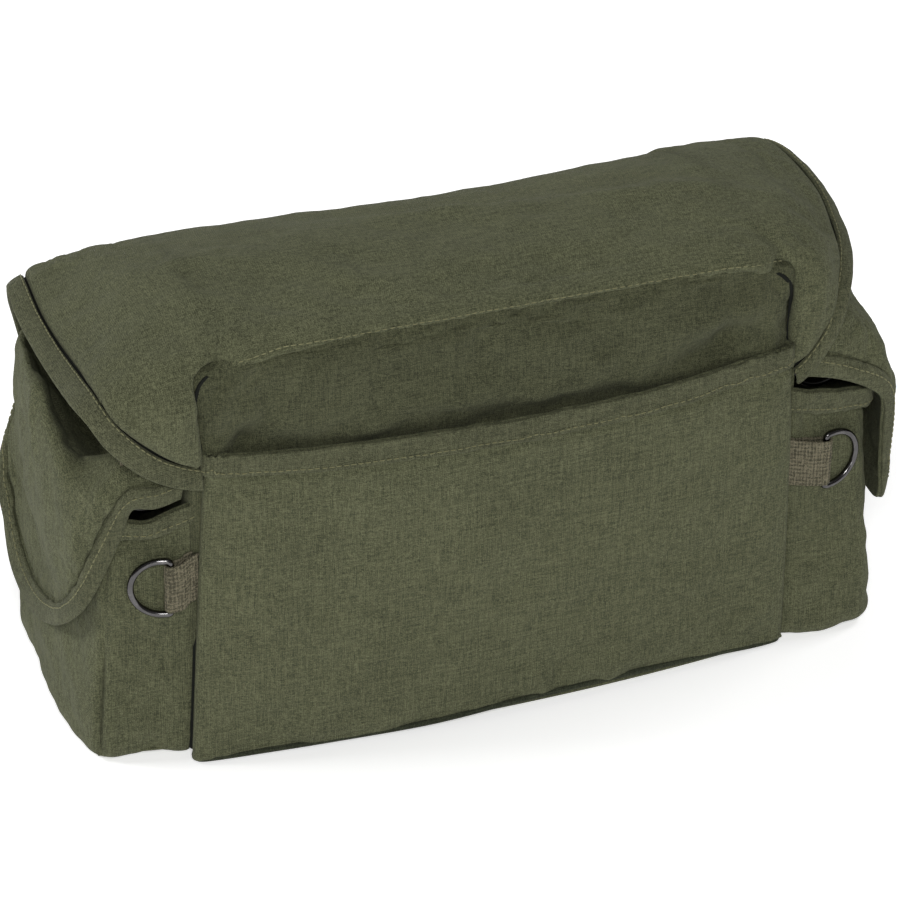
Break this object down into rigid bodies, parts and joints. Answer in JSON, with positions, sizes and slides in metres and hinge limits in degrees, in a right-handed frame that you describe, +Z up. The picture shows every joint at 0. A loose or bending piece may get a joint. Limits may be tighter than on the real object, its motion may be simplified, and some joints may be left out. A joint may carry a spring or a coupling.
{
  "type": "camera bag",
  "caption": "Canvas camera bag with a padded divided insert, a hinged lid flap with spring hooks, flapped end pockets, front pockets and a rear slip pocket with D-rings.",
  "frame": {"origin": "middle of the base, on the surface that the bag stands on", "axes": "+Z up, the front faces -Y and the back with the slip pocket faces +Y, +X towards the right end as seen by someone facing the front"},
  "size_m": [0.4104, 0.2165, 0.2285],
  "materials": {
    "canvas": "olive cotton canvas",
    "canvas_hem": "folded and stitched olive canvas",
    "webbing": "coarse woven webbing",
    "ring_metal": "dark gunmetal plating",
    "hook_metal": "dull nickel plating",
    "insert_cloth": "napped cloth over closed-cell foam",
    "board": "stiff fibre board",
    "fastening_tape": "hook-and-loop tape"
  },
  "bodies": {
    "bag": {"back_panel": "canvas", "base_board": "board", "bottom_panel": "canvas", "end_flap_yoke_left": "canvas", "end_flap_yoke_right": "canvas", "end_panel_left": "canvas", "end_panel_right": "canvas", "end_pocket_gusset_left": "canvas", "end_pocket_gusset_right": "canvas", "end_pocket_hem_left": "canvas_hem", "end_pocket_hem_right": "canvas_hem", "end_pocket_panel_left": "canvas", "end_pocket_panel_right": "canvas", "flap_seam_strip": "canvas_hem", "flap_wing_bands": "canvas_hem", "flap_wing_left": "canvas", "flap_wing_right": "canvas", "front_panel": "canvas", "front_pocket_gusset_left": "canvas", "front_pocket_gusset_right": "canvas", "front_pocket_hems": "canvas_hem", "front_pocket_panel_left": "canvas", "front_pocket_panel_right": "canvas", "front_ring_tabs": "webbing", "insert_back_wall": "insert_cloth", "insert_divider_left": "insert_cloth", "insert_divider_middle": "insert_cloth", "insert_divider_right": "insert_cloth", "insert_end_walls": "insert_cloth", "insert_floor": "insert_cloth", "insert_front_wall": "insert_cloth", "loop_tapes": "fastening_tape", "lower_ring_tabs": "webbing", "slip_pocket_hem": "canvas_hem", "slip_pocket_panel": "canvas", "upper_ring_tabs": "webbing"},
    "main_flap": {"flap_panel": "canvas", "flap_side_bands": "canvas_hem", "flap_front_band": "canvas_hem", "closure_tabs": "webbing"},
    "end_flap_right": {"end_flap_panel_right": "canvas", "end_flap_band_right": "canvas_hem", "end_flap_hook_tape_right": "fastening_tape"},
    "lower_ring_right": {"lower_ring_right": "ring_metal"},
    "upper_ring_right": {"upper_ring_right": "ring_metal"},
    "front_ring_right": {"front_ring_right": "ring_metal"},
    "hook_right": {"spring_hook_right": "hook_metal", "gate_pin_right": "hook_metal"},
    "gate_right": {"hook_gate_right": "hook_metal"},
    "end_flap_left": {"end_flap_panel_left": "canvas", "end_flap_band_left": "canvas_hem", "end_flap_hook_tape_left": "fastening_tape"},
    "lower_ring_left": {"lower_ring_left": "ring_metal"},
    "upper_ring_left": {"upper_ring_left": "ring_metal"},
    "front_ring_left": {"front_ring_left": "ring_metal"},
    "hook_left": {"spring_hook_left": "hook_metal", "gate_pin_left": "hook_metal"},
    "gate_left": {"hook_gate_left": "hook_metal"}
  },
  "joints": [
    {"name": "main_flap_hinge", "type": "hinge", "parent": "bag", "child": "main_flap", "pos_m": [0, 0.076, 0.218], "axis": [-1, 0, 0], "range_deg": [0, 150]},
    {"name": "end_flap_hinge_right", "type": "hinge", "parent": "bag", "child": "end_flap_right", "pos_m": [0.184, 0, 0.172], "axis": [0, -1, 0], "range_deg": [0, 90]},
    {"name": "lower_ring_swing_right", "type": "hinge", "parent": "bag", "child": "lower_ring_right", "pos_m": [0.1605, 0.072, 0.0987], "axis": [0, 0, 1], "range_deg": [0, 125]},
    {"name": "upper_ring_swing_right", "type": "hinge", "parent": "bag", "child": "upper_ring_right", "pos_m": [0.167, 0.0598, 0.155], "axis": [-1, 0, 0], "range_deg": [0, 75]},
    {"name": "front_ring_swing_right", "type": "hinge", "parent": "bag", "child": "front_ring_right", "pos_m": [0.07, -0.1152, 0.028], "axis": [-1, 0, 0], "range_deg": [0, 110]},
    {"name": "hook_swing_right", "type": "hinge", "parent": "main_flap", "child": "hook_right", "pos_m": [0.07, -0.1233, 0.077], "axis": [-1, 0, 0], "range_deg": [0, 110]},
    {"name": "hook_gate_right", "type": "hinge", "parent": "hook_right", "child": "gate_right", "pos_m": [0.0749, -0.1233, 0.0616], "axis": [0, 1, 0], "range_deg": [0, 50], "stiffness_Nm_per_rad": 0.01, "springref_deg": -17.19},
    {"name": "end_flap_hinge_left", "type": "hinge", "parent": "bag", "child": "end_flap_left", "pos_m": [-0.184, 0, 0.172], "axis": [0, 1, 0], "range_deg": [0, 90]},
    {"name": "lower_ring_swing_left", "type": "hinge", "parent": "bag", "child": "lower_ring_left", "pos_m": [-0.168, 0.072, 0.0987], "axis": [0, 0, -1], "range_deg": [0, 125]},
    {"name": "upper_ring_swing_left", "type": "hinge", "parent": "bag", "child": "upper_ring_left", "pos_m": [-0.167, 0.0598, 0.155], "axis": [-1, 0, 0], "range_deg": [0, 75]},
    {"name": "front_ring_swing_left", "type": "hinge", "parent": "bag", "child": "front_ring_left", "pos_m": [-0.07, -0.1152, 0.028], "axis": [-1, 0, 0], "range_deg": [0, 110]},
    {"name": "hook_swing_left", "type": "hinge", "parent": "main_flap", "child": "hook_left", "pos_m": [-0.07, -0.1233, 0.077], "axis": [-1, 0, 0], "range_deg": [0, 110]},
    {"name": "hook_gate_left", "type": "hinge", "parent": "hook_left", "child": "gate_left", "pos_m": [-0.0749, -0.1233, 0.0616], "axis": [0, -1, 0], "range_deg": [0, 50], "stiffness_Nm_per_rad": 0.01, "springref_deg": -17.19}
  ]
}
